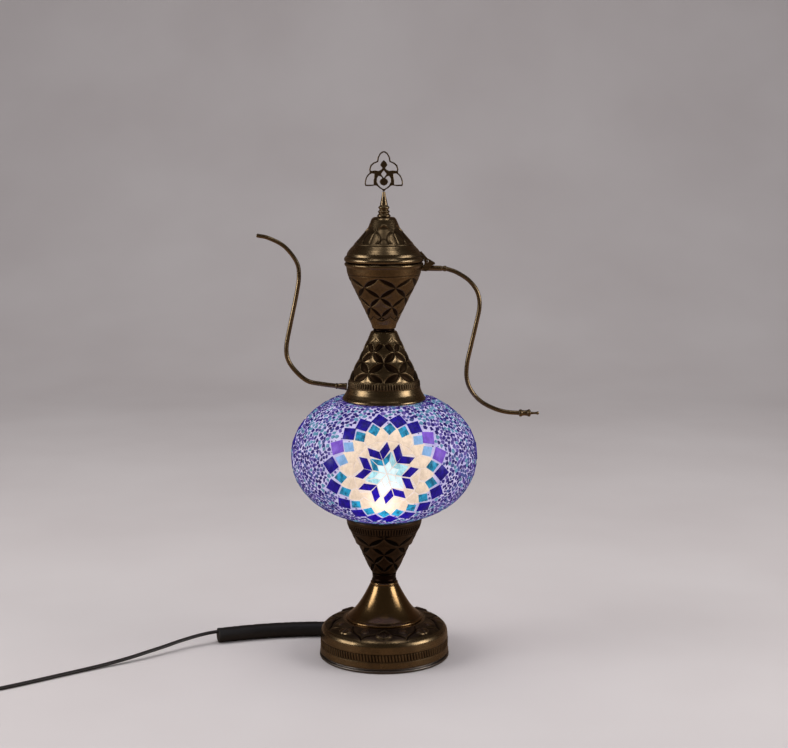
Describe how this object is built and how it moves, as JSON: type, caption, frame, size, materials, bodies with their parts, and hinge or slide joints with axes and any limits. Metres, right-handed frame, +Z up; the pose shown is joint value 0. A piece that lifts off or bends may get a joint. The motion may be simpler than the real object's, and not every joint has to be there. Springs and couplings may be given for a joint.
{
  "type": "mosaic glass table lamp",
  "caption": "Ewer-shaped table lamp: flattened mosaic glass globe on an embossed brass stem, with curved spout, scrolled handle, hinged lid and tulip finial.",
  "frame": {"origin": "middle of the felt pad's underside, on the table and on the lamp's axis", "axes": "+Z up along the lamp's axis, -X towards the spout, +X towards the handle and the lid hinge, -Y towards the viewer"},
  "size_m": [0.543, 0.404, 0.4766],
  "materials": {
    "felt": "matt black felt",
    "bright_steel": "bright zinc-plated steel",
    "base_brass": "antiqued brown brass, worn golden on raised edges",
    "cast_iron": "raw casting",
    "rubber": "matt black rubber",
    "polished_brass": "polished antique brass",
    "dark_bronze": "almost black patina",
    "dark_embossed_brass": "embossed, dark brown patina",
    "embossed_brass": "embossed antique brass, dark in the grooves and golden on raised faces",
    "antique_brass": "dark antique brass",
    "bakelite": "black bakelite",
    "contact_brass": "bright contact brass",
    "bulb_glass": "frosted glass, lit",
    "globe_glass": "blown clear glass",
    "mosaic": "coloured glass tiles and chips in white grout, lit from inside",
    "brown_pvc": "brown wire insulation",
    "blue_pvc": "blue wire insulation",
    "cord_pvc": "black flexible sheath",
    "black_plastic": "black moulded plastic"
  },
  "bodies": {
    "stand": {"felt_pad": "felt", "base_plate": "bright_steel", "base_shell": "base_brass", "base_weight": "cast_iron", "base_washer": "bright_steel", "base_nut": "bright_steel", "threaded_tube": "bright_steel", "cord_grommet": "rubber", "riser_cone": "polished_brass", "lower_collar": "dark_bronze", "lower_cup": "dark_embossed_brass", "gallery_ring": "dark_embossed_brass", "support_disc": "bright_steel", "holder_locknut": "bright_steel", "lampholder_body": "bakelite", "lampholder_sleeve": "contact_brass", "centre_contact": "contact_brass", "wire_live": "brown_pvc", "wire_neutral": "blue_pvc", "globe_glass": "globe_glass", "mosaic_crust": "mosaic", "lower_gasket": "rubber", "cord_sleeve": "cord_pvc", "power_cord": "cord_pvc", "plug_cord": "cord_pvc", "switch_lower": "black_plastic", "switch_upper": "black_plastic", "switch_pin": "bright_steel", "plug_body": "black_plastic", "plug_pin_left": "bright_steel", "plug_pin_right": "bright_steel"},
    "head": {"bell": "embossed_brass", "fitter_ring": "bright_steel", "upper_gasket": "rubber", "neck_ring": "dark_bronze", "head_rod": "bright_steel", "head_nut_lower": "bright_steel", "head_nut_upper": "bright_steel", "goblet": "embossed_brass", "spout_socket": "antique_brass", "spout": "antique_brass", "handle_root": "antique_brass", "handle_wire": "antique_brass", "handle_ferrule": "antique_brass", "handle_tip": "antique_brass", "hinge_bracket": "antique_brass", "hinge_pin": "bright_steel"},
    "lid": {"lid": "embossed_brass", "lid_leaf": "antique_brass", "finial_nut": "bright_steel"},
    "finial": {"finial_base": "antique_brass", "finial_tulip": "antique_brass"},
    "bulb": {"bulb_cap": "contact_brass", "bulb_glass": "bulb_glass"},
    "rocker": {"switch_rocker": "black_plastic"}
  },
  "joints": [
    {"name": "head_lift", "type": "slide", "parent": "stand", "child": "head", "axis": [0, 0, 1], "range_m": [0, 0.12]},
    {"name": "lid_hinge", "type": "hinge", "parent": "head", "child": "lid", "pos_m": [0.0399, 0, 0.376], "axis": [0, 1, 0], "range_deg": [0, 100]},
    {"name": "finial_turn", "type": "hinge", "parent": "lid", "child": "finial", "pos_m": [0, 0, 0.42], "axis": [0, 0, 1], "range_deg": [0, 810]},
    {"name": "bulb_turn", "type": "hinge", "parent": "stand", "child": "bulb", "pos_m": [0, 0, 0.14], "axis": [0, 0, 1], "range_deg": [0, 1170]},
    {"name": "switch_tilt", "type": "hinge", "parent": "stand", "child": "rocker", "pos_m": [-0.386, -0.186, 0.0134], "axis": [1, 0, 0], "range_deg": [0, 16]}
  ]
}
